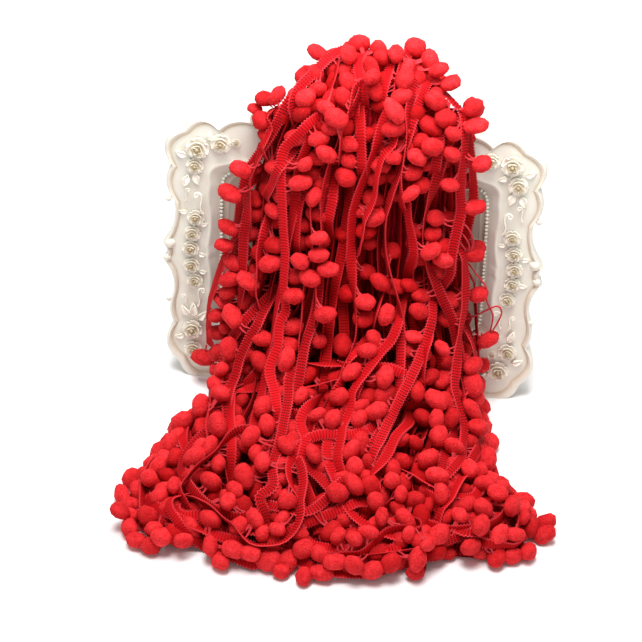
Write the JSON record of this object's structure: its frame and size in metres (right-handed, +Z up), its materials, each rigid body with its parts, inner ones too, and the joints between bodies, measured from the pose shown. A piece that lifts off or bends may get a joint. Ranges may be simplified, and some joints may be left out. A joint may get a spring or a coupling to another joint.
{
  "type": "pompom trim hank draped over a picture frame",
  "caption": "Loose hank of red woven tape edged with yarn pompoms, hung over a scalloped picture frame on its easel leg and spilling down its front into a heap on the floor.",
  "frame": {"origin": "on the floor, on the flat underside of the heap, in line with the middle of the picture frame", "axes": "+X across the frame, +Y from the heap towards the frame, +Z up"},
  "size_m": [0.2344, 0.246, 0.2209],
  "materials": {
    "red_yarn": "matte fuzzy polyester yarn",
    "cast_resin": "satin cast resin with a pale cream paint",
    "backing_card": "plain grey card under a clear sheet",
    "fibreboard": "flocked brown fibreboard"
  },
  "bodies": {
    "root": {"frame_moulding": "cast_resin", "frame_picture_panel": "backing_card", "frame_back_board": "fibreboard", "frame_easel_leg": "fibreboard", "trim_bulk": "red_yarn", "trim_run_01_1": "red_yarn", "trim_run_01_2": "red_yarn", "trim_run_01_3": "red_yarn", "trim_run_02_1": "red_yarn", "trim_run_02_2": "red_yarn", "trim_run_02_3": "red_yarn", "trim_run_02_4": "red_yarn", "trim_run_03_1": "red_yarn", "trim_run_03_2": "red_yarn", "trim_run_03_3": "red_yarn", "trim_run_03_4": "red_yarn", "trim_run_04_1": "red_yarn", "trim_run_04_2": "red_yarn", "trim_run_04_3": "red_yarn", "trim_run_04_4": "red_yarn", "trim_run_05_1": "red_yarn", "trim_run_05_2": "red_yarn", "trim_run_05_3": "red_yarn", "trim_run_06_1": "red_yarn", "trim_run_06_2": "red_yarn", "trim_run_06_3": "red_yarn", "trim_run_07_1": "red_yarn", "trim_run_07_2": "red_yarn", "trim_run_08_1": "red_yarn", "trim_run_08_2": "red_yarn", "trim_run_09_1": "red_yarn", "trim_run_09_2": "red_yarn", "trim_run_10_1": "red_yarn", "trim_run_10_2": "red_yarn", "trim_run_11_1": "red_yarn", "trim_run_12_1": "red_yarn", "trim_run_12_2": "red_yarn", "trim_run_13_1": "red_yarn", "trim_run_14_1": "red_yarn", "trim_run_15_1": "red_yarn", "trim_run_16_1": "red_yarn", "trim_run_17_1": "red_yarn", "trim_run_17_2": "red_yarn"}
  },
  "joints": []
}
